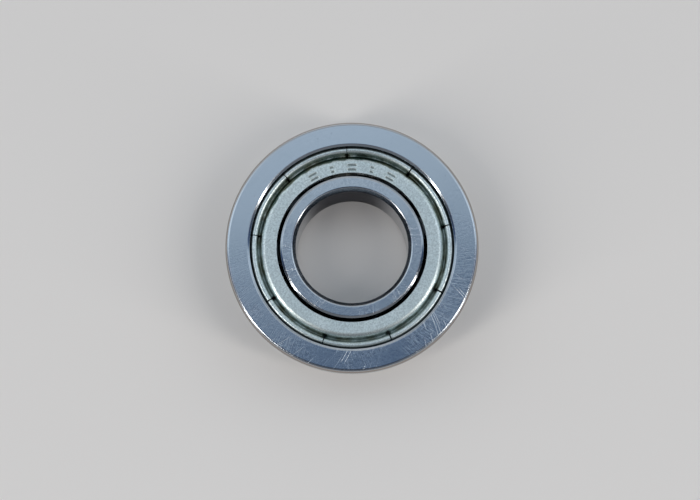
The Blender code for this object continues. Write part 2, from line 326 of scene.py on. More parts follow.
def fillet(before, corner, after, radius):
    """Points that round one corner of an outline."""
    to_before = Vector(before) - Vector(corner)
    to_after = Vector(after) - Vector(corner)
    angle = to_before.angle(to_after)
    if angle > NEARLY_STRAIGHT:
        return [corner]
    shortest = min(to_before.length, to_after.length)
    set_back = min(radius / math.tan(angle / 2), 0.45 * shortest)
    radius = set_back * math.tan(angle / 2)
    middle = (to_before.normalized() + to_after.normalized()).normalized()
    centre = Vector(corner) + middle * radius / math.sin(angle / 2)
    start = Vector(corner) + to_before.normalized() * set_back - centre
    end = Vector(corner) + to_after.normalized() * set_back - centre
    turn = start.angle_signed(end)
    points = []
    for step in range(FILLET_STEPS + 1):
        spoke = start.copy()
        spoke.rotate(Matrix.Rotation(-turn * step / FILLET_STEPS, 2))
        points.append(tuple(centre + spoke))
    return points


def rounded(outline):
    """A closed outline with every real corner rounded; a point's third number is its own radius."""
    points = []
    for i, corner in enumerate(outline):
        radius = corner[2] if len(corner) > 2 else EDGE_ROUND
        after = outline[(i + 1) % len(outline)]
        points += fillet(outline[i - 1][:2], corner[:2], after[:2], radius)
    return points


def with_edge_loops(outline):
    """Extra points close to both ends of each long straight, so that flat faces shade flat."""
    points = []
    for i, point in enumerate(outline):
        here, after = Vector(point), Vector(outline[(i + 1) % len(outline)])
        points.append(point)
        along = after - here
        if along.length > 5 * EDGE_LOOP_REACH:
            step = along.normalized() * EDGE_LOOP_REACH
            points.append(tuple(here + step))
            points.append(tuple(after - step))
    return points


def turned(outline, segments):
    """A closed outline of (radius, height) points spun about the Z axis."""
    bm = bmesh.new()
    verts = [bm.verts.new((radius, 0, height)) for radius, height in outline]
    edges = [bm.edges.new((verts[i - 1], verts[i])) for i in range(len(verts))]
    bmesh.ops.spin(bm, geom=verts + edges, cent=(0, 0, 0), axis=(0, 0, 1), angle=math.tau,
                   steps=segments, use_merge=True)
    bmesh.ops.remove_doubles(bm, verts=bm.verts[:], dist=WELD)
    bmesh.ops.dissolve_degenerate(bm, edges=bm.edges[:], dist=WELD)
    bmesh.ops.recalc_face_normals(bm, faces=bm.faces[:])
    return bm


def mirrored(points):
    """The same outline points seen from the other face, in reverse order."""
    return [(radius, WIDTH - height, *rest) for radius, height, *rest in reversed(points)]


def angle_between(angle, other):
    """The signed turn from one angle to another, the short way round."""
    return math.remainder(angle - other, math.tau)


def bevelled(piece, name, width, angle):
    """Round a piece's corners, those sharper than an angle in degrees, with a small bevel."""
    bevel = piece.modifiers.new(name, "BEVEL")
    bevel.limit_method = "ANGLE"
    bevel.angle_limit = math.radians(angle)
    bevel.width = width
    bevel.segments = 2


def smooth_step(low, high, value):
    """0 below low, 1 above high, and a smooth ramp between."""
    share = min(max((value - low) / (high - low), 0), 1)
    return share * share * (3 - 2 * share)


# ---------------------------------------------------------------- rings

def raceway(land_radius, direction):
    """The raceway's arc from the back to the front: +1 on the outer ring, -1 on the inner."""
    floor = PITCH_RADIUS + direction * (BALL_RADIUS + RUNNING_CLEARANCE)
    centre = floor - direction * GROOVE_RADIUS
    half_angle = math.degrees(math.acos(direction * (land_radius - centre) / GROOVE_RADIUS))
    toward_floor = 0 if direction > 0 else 180
    return arc((centre, MID_PLANE), GROOVE_RADIUS, toward_floor - direction * half_angle,
               toward_floor + direction * half_angle, RACEWAY_STEPS)


def shield_seat():
    """The back end of the outer ring's inside, from the ledge out to the face."""
    return [
        (OUTER_LAND_RADIUS, LEDGE_DEPTH),
        (SEAT_RADIUS, LEDGE_DEPTH),
        (SEAT_RADIUS, LIP_DEPTH + SEAT_SLOPE),
        (LIP_RADIUS, LIP_DEPTH),
        (LIP_RADIUS, LIP_CHAMFER_DEPTH, CHAMFER_ROUND),
        (LIP_RADIUS + LIP_CHAMFER, 0, CHAMFER_ROUND),
    ]


def outer_ring(metal):
    """Outer ring: outside wall, flange with its corner relief, both shield seats and the raceway."""
    seat_height = WIDTH - FLANGE_THICKNESS
    relief_radius = OUTER_RADIUS - RELIEF_DEPTH
    outside = [
        (OUTER_RADIUS - BACK_CHAMFER, 0, WIDE_CHAMFER_ROUND),
        (OUTER_RADIUS, BACK_CHAMFER, WIDE_CHAMFER_ROUND),
        (OUTER_RADIUS, seat_height - RELIEF_WIDTH - RELIEF_DEPTH),
        (relief_radius, seat_height - RELIEF_WIDTH),
        (relief_radius, seat_height + RELIEF_RISE),
        (OUTER_RADIUS + RELIEF_OVERCUT, seat_height),
        (FLANGE_RADIUS - FLANGE_UNDER_CHAMFER, seat_height),
        (FLANGE_RADIUS, seat_height + FLANGE_UNDER_CHAMFER),
        (FLANGE_RADIUS, WIDTH - FLANGE_CHAMFER_DEPTH, WIDE_CHAMFER_ROUND),
        (FLANGE_RADIUS - FLANGE_CHAMFER, WIDTH, FLANGE_ROUND),
    ]
    back_seat = shield_seat()
    race = list(reversed(raceway(OUTER_LAND_RADIUS, 1)))
    outline = rounded(outside + mirrored(back_seat) + race + back_seat)
    piece = new_piece("outer_ring_body", turned(with_edge_loops(outline), RING_SEGMENTS), metal)
    stand_in(piece, "outer_ring", "outer")


def inner_ring(metal):
    """Inner ring: chamfered bore, two ground faces and the inner raceway."""
    back = [
        (BORE_RADIUS, BORE_CHAMFER_DEPTH, CHAMFER_ROUND),
        (BORE_RADIUS + BORE_CHAMFER, 0, BORE_ROUND),
        (INNER_LAND_RADIUS - INNER_FACE_CHAMFER, 0, CHAMFER_ROUND),
        (INNER_LAND_RADIUS, INNER_FACE_CHAMFER_DEPTH, CHAMFER_ROUND),
    ]
    outline = rounded(back + raceway(INNER_LAND_RADIUS, -1) + mirrored(back))
    piece = new_piece("inner_ring_body", turned(with_edge_loops(outline), RING_SEGMENTS), metal)
    stand_in(piece, "inner_ring", "inner")


# ---------------------------------------------------------------- shields

def shield_centre_line():
    """(radius, depth below the ring's face) along the middle of the shield's sheet, hole to rim."""
    shoulder_centre = (SHOULDER_START, SHIELD_RECESS + SHOULDER_RADIUS)
    flat = [(SHIELD_HOLE_RADIUS + (SHOULDER_START - SHIELD_HOLE_RADIUS) * i / FLAT_STEPS,
             SHIELD_RECESS) for i in range(FLAT_STEPS)]
    return (
        flat
        + arc(shoulder_centre, SHOULDER_RADIUS, *SHOULDER_ARC, SHOULDER_STEPS)
        + arc(VALLEY_CENTRE, VALLEY_RADIUS, *VALLEY_ARC, VALLEY_STEPS)
        + arc(BEAD_CENTRE, BEAD_RADIUS, *BEAD_ARC, BEAD_STEPS)
        + [RIM_FLARE]
        + arc_to_edge(RIM_FLARE, RIM_EDGE)
    )


def arc_to_edge(start, end, steps=4):
    """The last flare of the rim, curling gently outwards from start to end."""
    points = []
    for step in range(1, steps + 1):
        share = step / steps
        points.append((start[0] + (end[0] - start[0]) * share**1.3,
                       start[1] + (end[1] - start[1]) * share**0.8))
    return points


def sheet_rows(centre_line, thickness):
    """Pairs of points on the outer and inner face of the sheet, along the centre line."""
    rows = []
    last = len(centre_line) - 1
    for i, (x, y) in enumerate(centre_line):
        before = centre_line[max(i - 1, 0)]
        after = centre_line[min(i + 1, last)]
        heading = math.atan2(after[1] - before[1], after[0] - before[0]) - math.pi / 2
        offset = (thickness / 2 * math.cos(heading), thickness / 2 * math.sin(heading))
        rows.append(((x + offset[0], y + offset[1]), (x - offset[0], y - offset[1])))
    return rows


def slit_half_width(radius, share):
    """Half the gap between two stretches of rim: a hairline that opens to a notch in the fold."""
    notch = math.exp(-((radius - VALLEY_CENTRE[0]) / NOTCH_REACH) ** 2)
    return share * (SLIT_WIDTH / 2 + (NOTCH_WIDTH - SLIT_WIDTH) / 2 * notch)


def shield_columns(fine_centre=None):
    """The sheet's columns: each one's angle, its kind and the angle of the slit nearest to it.

    Every sector has one column at each edge of its slit and one in the middle of the slit; the
    stretch of sheet that carries stamped marks has finer columns.
    """
    columns = []
    for k in range(SLIT_COUNT):
        slit_angle = SLIT_OFFSET + k * SLIT_SECTOR
        columns.append((slit_angle, "middle", slit_angle))
        start = slit_angle + SLIT_COLUMN_ANGLE
        end = slit_angle + SLIT_SECTOR - SLIT_COLUMN_ANGLE
        from_marks = SLIT_SECTOR if fine_centre is None else angle_between((start + end) / 2, fine_centre)
        fine = abs(from_marks) < SLIT_SECTOR
        count = FINE_COLUMNS if fine else COARSE_COLUMNS
        for i in range(count + 1):
            share = i / count
            if not fine:
                # columns crowd towards the slits, whose edges are curved
                share -= COLUMN_CROWDING * math.sin(math.tau * share) / math.tau
            kind = "edge" if i in (0, count) else "sheet"
            slit = slit_angle if share < 0.5 else slit_angle + SLIT_SECTOR
            columns.append((start + (end - start) * share, kind, slit))
    return columns


def mark_strokes():
    """Ends of the stamped strokes, as (tangential, radial) places in metres round the marks' middle.

    The row is a plain pattern: a pair of dashes, a pair of dots, and so on, with no lettering.
    """
    strokes = []
    pitch = MARK_RING * MARK_SPAN / (MARK_COUNT - 1)
    for k in range(MARK_COUNT):
        x = (k - (MARK_COUNT - 1) / 2) * pitch
        reach = DOT_HALF_LENGTH if k % 2 else DASH_HALF_LENGTH
        for y in (-MARK_OFFSET, MARK_OFFSET):
            strokes.append(((x - reach, y), (x + reach, y)))
    return strokes


def distance_to_stroke(x, y, stroke):
    """How far a point lies from a stroke's centre line."""
    spot, start, end = Vector((x, y)), Vector(stroke[0]), Vector(stroke[1])
    along = end - start
    share = min(max((spot - start).dot(along) / along.length_squared, 0), 1)
    return (spot - start - share * along).length


def stamp_share(radius, angle, strokes):
    """How far into a stamped mark one place on the front shield lies, from 0 to 1."""
    x = -MARK_RING * angle_between(angle, MARK_ANGLE)
    y = radius - MARK_RING
    if abs(y) > 2 * MARK_OFFSET or abs(x) > MARK_RING * MARK_SPAN * 0.6:
        return 0
    nearest = min(distance_to_stroke(x, y, stroke) for stroke in strokes)
    return 1 - smooth_step(0.4 * MARK_STROKE, 1.1 * MARK_STROKE, nearest)


def first_slit_row(rows):
    """The row of the sheet, beyond the flat, at which the slits begin."""
    beyond_flat = range(FLAT_STEPS, len(rows))
    return min(beyond_flat, key=lambda i: abs(rows[i][0][0] - SLIT_START))


def sheet_faces(bm, grid, columns, fold):
    """Faces of the sheet between its columns, closed at the hole, at the rim and along every slit."""
    for i, (upper, lower) in enumerate(grid):
        next_upper, next_lower = grid[(i + 1) % len(grid)]
        last = min(len(upper), len(next_upper)) - 1
        for row in range(last):
            bm.faces.new((upper[row], upper[row + 1], next_upper[row + 1], next_upper[row]))
            bm.faces.new((lower[row], next_lower[row], next_lower[row + 1], lower[row + 1]))
        bm.faces.new((upper[0], next_upper[0], next_lower[0], lower[0]))
        bm.faces.new((upper[last], lower[last], next_lower[last], next_upper[last]))
        if columns[i][1] == "edge":
            for row in range(fold, len(upper) - 1):
                bm.faces.new((upper[row], upper[row + 1], lower[row + 1], lower[row]))
    bmesh.ops.recalc_face_normals(bm, faces=bm.faces[:])


def shield(name, node, front, metal):
    """One pressed shield: a stamped washer whose curled rim is cut by narrow slits."""
    rows = sheet_rows(shield_centre_line(), SHIELD_SHEET)
    fold = first_slit_row(rows)
    strokes = mark_strokes()
    columns = shield_columns(MARK_ANGLE if front else None)
    spread = [(rng.uniform(-1, 1) * RIM_SPREAD, rng.uniform(-1, 1) * RIM_SPREAD)
              for _ in range(SLIT_COUNT)]
    openness = [rng.uniform(*SLIT_OPENNESS) for _ in range(SLIT_COUNT)]
    puddle = [rng.uniform(*PUDDLE_REACH) * MM for _ in range(SLIT_COUNT)]
    bm = bmesh.new()
    stamp = bm.verts.layers.float.new("stamp")
    oil = bm.verts.layers.float.new("oil")

    def place(column, row, side):
        angle, _, slit = column
        radius, depth = rows[row][side]
        slit_number = round((slit - SLIT_OFFSET) / SLIT_SECTOR) % SLIT_COUNT
        gap = slit_half_width(radius, openness[slit_number]) / radius
        beside = angle_between(angle, slit)
        away = abs(beside)
        if row >= fold and away > 1e-6:
            # the slit's edge follows its own width, and columns beside it give way
            give = math.exp(-(away - SLIT_COLUMN_ANGLE) / SLIT_PULL_ANGLE)
            angle += math.copysign(1, beside) * (gap - SLIT_COLUMN_ANGLE) * give
            free = smooth_step(fold, fold + RIM_FREE_ROWS, row)
            stretch = int(((angle - SLIT_OFFSET) % math.tau) / SLIT_SECTOR) % SLIT_COUNT
            radius += spread[stretch][0] * free
            depth += spread[stretch][1] * free
        share = 0
        if front and side == 0 and row < FLAT_STEPS:
            share = stamp_share(radius, angle, strokes)
            depth += MARK_DEPTH * share
        radius = min(radius, RIM_REACH)
        height = WIDTH - depth if front else depth
        vert = bm.verts.new((radius * math.cos(angle), radius * math.sin(angle), height))
        vert[stamp] = share
        from_notch = math.hypot(away * radius, PUDDLE_SQUEEZE * (radius - VALLEY_CENTRE[0]))
        vert[oil] = math.exp(-(from_notch / puddle[slit_number]) ** 2)
        return vert

    grid = []
    for column in columns:
        count = fold + 1 if column[1] == "middle" else len(rows)
        grid.append([[place(column, row, side) for row in range(count)] for side in (0, 1)])
    sheet_faces(bm, grid, columns, fold)
    piece = new_piece(name, bm, metal, smooth_angle=50)
    bevelled(piece, "burnished_edges", SHEET_EDGE_BEVEL, 60)
    stand_in(piece, node, "outer")


# ---------------------------------------------------------------- balls and cage

def ball(name, node, centre, metal):
    """One ball, made from an evenly divided cube so that it has no poles."""
    bm = bmesh.new()
    bmesh.ops.create_cube(bm, size=2)
    bmesh.ops.subdivide_edges(bm, edges=bm.edges[:], cuts=BALL_CUTS, use_grid_fill=True)
    for vert in bm.verts:
        warped = Vector([math.tan(part * math.pi / 4) for part in vert.co])
        vert.co = warped.normalized() * BALL_RADIUS
    piece = new_piece(name, bm, metal, smooth_angle=180)
    piece.location = centre
    stand_in(piece, node, node)


def pocket_point(radius, along, sphere_radius, land_height):
    """Angle and height of a pocket's wall at a radius from the bearing's axis."""
    reach = sphere_radius**2 - land_height**2
    edge = math.acos((radius**2 + PITCH_RADIUS**2 - reach) / (2 * radius * PITCH_RADIUS))
    angle = edge * math.sin(along * math.pi / 2)
    distance = radius**2 + PITCH_RADIUS**2 - 2 * radius * PITCH_RADIUS * math.cos(angle)
    height = math.sqrt(max(sphere_radius**2 - distance, land_height**2))
    return angle, height


def ribbon(name, node, flip, metal):
    """One cage half: flat riveted lands joined by a spherical pocket over each ball."""
    bm = bmesh.new()
    columns = []
    inside = BALL_RADIUS + POCKET_CLEARANCE
    walls = ((inside, CAGE_JOINT_GAP / 2), (inside + CAGE_SHEET, CAGE_JOINT_GAP / 2 + CAGE_SHEET))
    for pocket in range(BALL_COUNT):
        for step in range(POCKET_STEPS + LAND_STEPS):
            rows = []
            for sphere_radius, land_height in walls:
                row = []
                for strip in range(RIBBON_STRIPS + 1):
                    radius = CAGE_INSIDE + (CAGE_OUTSIDE - CAGE_INSIDE) * strip / RIBBON_STRIPS
                    along = min(2 * step / POCKET_STEPS - 1, 1)
                    angle, height = pocket_point(radius, along, sphere_radius, land_height)
                    if step > POCKET_STEPS:
                        share = (step - POCKET_STEPS) / LAND_STEPS
                        angle += (BALL_PITCH - 2 * angle) * share
                        height = land_height
                    angle += pocket * BALL_PITCH
                    spot = (radius * math.cos(angle), radius * math.sin(angle), height)
                    row.append(bm.verts.new(spot))
                rows.append(row)
            columns.append(rows[0] + rows[1][::-1])
    for i, column in enumerate(columns):
        before = columns[i - 1]
        for j in range(len(column)):
            bm.faces.new((before[j - 1], before[j], column[j], column[j - 1]))
    bmesh.ops.recalc_face_normals(bm, faces=bm.faces[:])
    bmesh.ops.rotate(bm, verts=bm.verts[:], cent=(0, 0, 0), matrix=Matrix.Rotation(flip, 3, "X"))
    bmesh.ops.translate(bm, verts=bm.verts[:], vec=(0, 0, MID_PLANE))
    piece = new_piece(name, bm, metal)
    holes = piece.modifiers.new("rivet_holes", "BOOLEAN")
    holes.operation = "DIFFERENCE"
    holes.object = rivet_hole_cutter()
    bevelled(piece, "deburred_edges", CAGE_EDGE_BEVEL, 55)
    stand_in(piece, node, "cage")


def rivet_hole_cutter():
    """A guide with a post through every land of the cage; made once, and never shown."""
    name = "rivet_hole_cutter"
    if name in bpy.data.objects:
        return bpy.data.objects[name]
    bm = bmesh.new()
    for k in range(BALL_COUNT):
        angle = (k + 0.5) * BALL_PITCH
        made = bmesh.ops.create_cone(bm, cap_ends=True, segments=RIVET_HOLE_SEGMENTS,
                                     radius1=RIVET_HOLE_RADIUS, radius2=RIVET_HOLE_RADIUS,
                                     depth=4 * WIDTH)["verts"]
        spot = (PITCH_RADIUS * math.cos(angle), PITCH_RADIUS * math.sin(angle), 0)
        bmesh.ops.translate(bm, verts=made, vec=spot)
    mesh = bpy.data.meshes.new(name)
    bm.to_mesh(mesh)
    bm.free()
    tool = bpy.data.objects.new(name, mesh)
    tool.hide_render = True
    tool.display_type = "WIRE"
    bpy.context.collection.objects.link(tool)
    return tool


def rivet(name, node, centre, metal):
    """A rivet with a domed head at each end."""
    grip = CAGE_JOINT_GAP / 2 + CAGE_SHEET + RIVET_HEAD_GAP
    brim = grip + RIVET_BRIM
    dome = RIVET_HEAD_HEIGHT - RIVET_BRIM
    upper = [(RIVET_SHANK_RADIUS, grip), (RIVET_HEAD_RADIUS, grip), (RIVET_HEAD_RADIUS, brim)]
    for step in range(1, DOME_STEPS):
        share = step / DOME_STEPS
        angle = share * math.pi / 2
        shoulder = (RIVET_HEAD_RADIUS - RIVET_CROWN_RADIUS) * (1 - share)
        upper.append((RIVET_CROWN_RADIUS * math.cos(angle) + shoulder, brim + dome * math.sin(angle)))
    upper.append((0, brim + dome))
    outline = upper + [(radius, -height) for radius, height in reversed(upper)]
    piece = new_piece(name, turned(outline, RIVET_SEGMENTS), metal, smooth_angle=45)
    piece.location = centre
    stand_in(piece, node, "cage")


# ---------------------------------------------------------------- materials

class Nodes:
    """A node tree, with short calls for the nodes that the materials and the sky share."""

    def __init__(self, tree):
        self.tree = tree

    def add(self, kind, values=(), operation=None, **named):
        """A node with its inputs set by order or by name; a socket is linked and a number is set."""
        item = self.tree.nodes.new(kind)
        if operation:
            item.operation = operation
        for key, value in list(enumerate(values)) + list(named.items()):
            target = item.inputs[key]
            if isinstance(value, bpy.types.NodeSocket):
                self.tree.links.new(value, target)
            else:
                target.default_value = value
        return item

    def math(self, operation, a, b=0.0):
        return self.add("ShaderNodeMath", [a, b], operation).outputs[0]

    def ramp(self, value, low, high, start=0.0, end=1.0):
        """A smooth ramp from start at low to end at high."""
        item = self.add("ShaderNodeMapRange")
        item.interpolation_type = "SMOOTHSTEP"
        self.tree.links.new(value, item.inputs["Value"])
        item.inputs["From Min"].default_value = low
        item.inputs["From Max"].default_value = high
        item.inputs["To Min"].default_value = start
        item.inputs["To Max"].default_value = end
        return item.outputs["Result"]


class Metal(Nodes):
    """A metal's material, with short calls for the patterns that the steels share."""

    def __init__(self, name):
        self.material = bpy.data.materials.new(name)
        self.material.use_nodes = True
        super().__init__(self.material.node_tree)
        self.shader = self.tree.nodes["Principled BSDF"]
        self.shader.inputs["Metallic"].default_value = 1.0
        self.place = self.add("ShaderNodeTexCoord").outputs["Object"]
        split = self.add("ShaderNodeSeparateXYZ", Vector=self.place).outputs
        self.height = split["Z"]
        flat = self.add("ShaderNodeCombineXYZ", X=split["X"], Y=split["Y"]).outputs[0]
        length = self.add("ShaderNodeVectorMath", [flat], operation="LENGTH")
        self.radius = length.outputs["Value"]
        direction = self.add("ShaderNodeVectorMath", [flat], operation="NORMALIZE")
        self.direction = direction.outputs["Vector"]

    def noise(self, vector, scale, detail=2.0, roughness=0.5):
        return self.add("ShaderNodeTexNoise", Vector=vector, Scale=scale, Detail=detail,
                        Roughness=roughness).outputs[0]

    def band(self, value, centre, half_width):
        """1 at the centre, falling smoothly to 0 half_width away on both sides."""
        away = self.math("ABSOLUTE", self.math("SUBTRACT", value, centre))
        return self.ramp(away, 0.0, half_width, 1.0, 0.0)

    def mix(self, share, first, second):
        """A colour between two colours."""
        item = self.tree.nodes.new("ShaderNodeMix")
        item.data_type = "RGBA"
        for key, value in ((0, share), (6, first), (7, second)):
            if isinstance(value, bpy.types.NodeSocket):
                self.tree.links.new(value, item.inputs[key])
            else:
                item.inputs[key].default_value = value if key == 0 else (*value, 1.0)
        return item.outputs[2]

    def round_streaks(self, per_mm, stretch=2.0):
        """Fine rings left by turning or grinding: narrow across, long round the axis."""
        across = self.math("MULTIPLY", self.radius, per_mm * 1000)
        up = self.math("MULTIPLY", self.height, per_mm * 1000)
        both = self.math("ADD", across, up)
        spun = self.add("ShaderNodeVectorMath", [self.direction, (stretch,) * 3], "MULTIPLY").outputs[0]
        along = self.add("ShaderNodeSeparateXYZ", Vector=spun).outputs
        vector = self.add("ShaderNodeCombineXYZ", X=both, Y=along["X"], Z=along["Y"]).outputs[0]
        return self.noise(vector, 1.0, 3.0, 0.6)

    def cross_streaks(self, count, per_mm, swirl, detail=2.0):
        """Fine lines across the face, count of them per radian, leaning by swirl radians per mm."""
        lean = self.math("MULTIPLY", self.radius, swirl * 1000)
        turned_by = self.add("ShaderNodeVectorRotate", Vector=self.direction, Angle=lean)
        turned_by.rotation_type = "Z_AXIS"
        spread = self.add("ShaderNodeVectorMath", [turned_by.outputs[0], (count,) * 3], "MULTIPLY")
        parts = self.add("ShaderNodeSeparateXYZ", Vector=spread.outputs[0]).outputs
        along = self.math("MULTIPLY", self.radius, per_mm * 1000)
        vector = self.add("ShaderNodeCombineXYZ", X=parts["X"], Y=parts["Y"], Z=along).outputs[0]
        return self.noise(vector, 1.0, detail, 0.6)

    def attribute(self, name):
        """A number that the mesh carries at each vertex."""
        item = self.add("ShaderNodeAttribute")
        item.attribute_name = name
        return item.outputs["Fac"]

    def reach(self, vector, direction):
        """How far a vector reaches along a direction."""
        return self.add("ShaderNodeVectorMath", [vector, direction], "DOT_PRODUCT").outputs["Value"]

    def dings(self, scale, size, share):
        """Small round dents: 1 in a dent, in only a share of the cells of a random pattern."""
        cells = self.add("ShaderNodeTexVoronoi", Vector=self.place, Scale=scale)
        pick = self.add("ShaderNodeSeparateXYZ", Vector=cells.outputs["Color"]).outputs["X"]
        dent = self.ramp(cells.outputs["Distance"], size * 0.3, size, 1.0, 0.0)
        return self.math("MULTIPLY", dent, self.math("LESS_THAN", pick, share))

    def bump(self, height, distance, strength=1.0, below=None):
        """A bump whose height runs from 0 to distance metres."""
        item = self.add("ShaderNodeBump", Height=height, Distance=distance, Strength=strength)
        if below is not None:
            self.tree.links.new(below, item.inputs["Normal"])
        return item.outputs["Normal"]

    def dull_edge_on(self, share, colour):
        """Let a lubricant layer and painted shade dim the steel where it is seen nearly edge-on."""
        tint = self.mix(share, (1.0, 1.0, 1.0), colour)
        self.tree.links.new(tint, self.shader.inputs["Specular Tint"])

    def finish(self, colour, roughness, normal):
        """Plug the colour, roughness and normal into the shader."""
        for key, socket in (("Base Color", colour), ("Roughness", roughness), ("Normal", normal)):
            self.tree.links.new(socket, self.shader.inputs[key])
        return self.material


def handling_wear_and_glint(metal, calm):
    """How much wear and painted highlight each place has: patchy, and mostly on the side that the light
    catches; calm is the share on the other side.
    """
    patchy = metal.ramp(metal.noise(metal.place, 450, 2), 0.38, 0.62, 0.3, 1.0)
    side = metal.reach(metal.place, WORN_AND_LIT_SIDE)
    return metal.math("MULTIPLY", patchy, metal.ramp(side, WEAR_AND_GLINT_START, WEAR_AND_GLINT_FULL, calm, 1.0))


def end_faces(metal):
    """1 on the two ground end faces, and 0 on the walls between them."""
    from_middle = metal.math("ABSOLUTE", metal.math("SUBTRACT", metal.height, MID_PLANE))
    return metal.ramp(from_middle, MID_PLANE - 0.1 * MM, MID_PLANE - 0.02 * MM)


def face_scratches(metal, wear_and_glint, on_face):
    """Fine hairlines and a few single scratches, all on the end faces."""
    hair = metal.cross_streaks(165, 0.8, -0.03, 1.0)
    lean = metal.cross_streaks(120, 0.4, 0.06, 0.0)
    hairlines = metal.math("MULTIPLY", metal.ramp(hair, 0.48, 0.7), 0.5)
    single = metal.ramp(lean, 0.72, 0.78)
    scratches = metal.math("MULTIPLY", metal.math("MAXIMUM", hairlines, single), wear_and_glint)
    return metal.math("MULTIPLY", scratches, on_face)


def flange_edge(metal):
    """1 on the turned chamfer at the flange's front edge, and 0 elsewhere."""
    outside = metal.ramp(metal.radius, FLANGE_RADIUS - 0.13 * MM, FLANGE_RADIUS - 0.1 * MM)
    return metal.math("MULTIPLY", outside,
                      metal.ramp(metal.height, WIDTH - 0.3 * MM, WIDTH - 0.27 * MM))


def inside_lubricant_and_shade(metal):
    """1 on the rings' walls inside the bearing, darkened partly by lubricant and partly by painted shade,
    and 0 elsewhere.
    """
    beyond_land = metal.ramp(metal.radius, INNER_LAND_RADIUS - 0.02 * MM, INNER_LAND_RADIUS - 0.01 * MM)
    within_seat = metal.ramp(metal.radius, SEAT_RADIUS + 0.01 * MM, SEAT_RADIUS + 0.05 * MM, 1.0, 0.0)
    above = metal.ramp(metal.height, 0.12 * MM, 0.22 * MM)
    below = metal.ramp(metal.height, WIDTH - 0.22 * MM, WIDTH - 0.12 * MM, 1.0, 0.0)
    return metal.math("MULTIPLY", metal.math("MULTIPLY", beyond_land, within_seat),
                      metal.math("MULTIPLY", above, below))


def bore_painted_shade(metal):
    """How much painted shade darkens the bore's wall: a lot on one side, little elsewhere, none outside.
    """
    amount = metal.ramp(metal.reach(metal.direction, BORE_SHADED_SIDE), 0.55, 0.95, 0.1, 0.95)
    on_wall = metal.ramp(metal.radius, BORE_RADIUS + 0.02 * MM, BORE_RADIUS + 0.1 * MM, 1.0, 0.0)
    return metal.math("MULTIPLY", amount, on_wall)


def ground_steel(name, light, dark, calm):
    """A ring's through-hardened steel: ground lay, handling scratches, dents and faint blotches, with
    painted glints and painted shade.
    """
    metal = Metal(name)
    lay = metal.round_streaks(40, 3.0)
    blotch = metal.noise(metal.place, 260, 3)
    mottle = metal.ramp(metal.noise(metal.place, 4800, 3, 0.7), 0.38, 0.62)
    speck = metal.ramp(metal.noise(metal.place, 5200, 1), 0.74, 0.8)
    ding = metal.dings(1300, 0.11, 0.08)
    wear_and_glint = handling_wear_and_glint(metal, calm)
    on_face = end_faces(metal)
    scratches = face_scratches(metal, wear_and_glint, on_face)
    dirty = metal.math("MULTIPLY", mottle, metal.math("MULTIPLY", wear_and_glint, 0.5))
    dirty = metal.math("MULTIPLY", dirty, metal.math("MAXIMUM", on_face, 0.2))
    lubricant_and_shade = inside_lubricant_and_shade(metal)
    in_bore = bore_painted_shade(metal)

    colour = metal.mix(metal.ramp(blotch, 0.3, 0.7), dark, light)
    colour = metal.mix(dirty, colour, GRIME)
    # Scratches painted bright, mostly on the side the light catches: real scratches with a painted
    # highlight
    colour = metal.mix(metal.math("MULTIPLY", scratches, 0.65), colour, SCRATCH_AND_GLINT)
    # Painted shade on the flange's front chamfer, standing for the shadowed floor that it mirrors
    colour = metal.mix(flange_edge(metal), colour, PAINTED_EDGE_SHADE)
    colour = metal.mix(metal.math("MULTIPLY", speck, 0.4), colour, SPECK)
    # A painted glint on each dent, beside its real bump
    colour = metal.mix(metal.math("MULTIPLY", ding, 0.6), colour, PAINTED_DING_GLINT)
    # Painted shade on the bore's wall, darkest on one side
    colour = metal.mix(in_bore, colour, BORE_SHADE)
    # Painted shade on the walls inside the bearing, partly a lubricant layer, also dimming them edge-on
    colour = metal.mix(lubricant_and_shade, colour, RING_LUBRICANT_AND_SHADE)
    metal.dull_edge_on(metal.math("MAXIMUM", lubricant_and_shade, in_bore), RING_LUBRICANT_AND_SHADE_EDGE_ON)

    rough = metal.math("ADD", metal.ramp(blotch, 0.3, 0.7, 0.125, 0.165),
                       metal.math("MULTIPLY", scratches, 0.14))
    rough = metal.math("ADD", rough, metal.ramp(lay, 0.35, 0.65, -0.015, 0.015))
    relief = metal.bump(lay, 0.0003 * MM)
    relief = metal.bump(dirty, 0.002 * MM, 1.0, relief)
    relief = metal.bump(scratches, -0.004 * MM, 0.8, relief)
    relief = metal.bump(ding, -0.02 * MM, 1.0, relief)
    return metal.finish(colour, rough, relief)


def shield_oil(metal):
    """How much oil lies at each place of a shield: a ragged band in the fold and pools at the slits."""
    wander = metal.ramp(metal.noise(metal.place, 1700, 3), 0.3, 0.7, -0.05 * MM, 0.05 * MM)
    drift = metal.ramp(metal.noise(metal.place, 260, 1), 0.35, 0.65, -0.05 * MM, 0.07 * MM)
    lean = metal.reach(metal.direction, OILED_SIDE)
    run = metal.ramp(lean, 0.0, 1.0, 0.0, OIL_RUN)
    edge = metal.math("ADD", metal.math("ADD", metal.radius, wander), drift)
    inner_side = metal.ramp(metal.math("ADD", edge, run), VALLEY_CENTRE[0] - 0.2 * MM,
                            VALLEY_CENTRE[0] - 0.08 * MM)
    outer_side = metal.ramp(edge, VALLEY_CENTRE[0] + 0.02 * MM, VALLEY_CENTRE[0] + 0.18 * MM, 1.0, 0.0)
    in_fold = metal.math("MULTIPLY", inner_side, outer_side)
    ragged = metal.ramp(metal.noise(metal.place, 3500, 2), 0.3, 0.7, -0.25, 0.25)
    pooled = metal.ramp(metal.math("ADD", metal.attribute("oil"), ragged), 0.35, 0.75)
    streaky = metal.ramp(metal.noise(metal.place, 900, 3), 0.3, 0.65, 0.5, 1.0)
    streaky = metal.math("MAXIMUM", streaky, metal.ramp(lean, 0.1, 0.8))
    return metal.math("MAXIMUM", metal.math("MULTIPLY", in_fold, streaky), pooled)


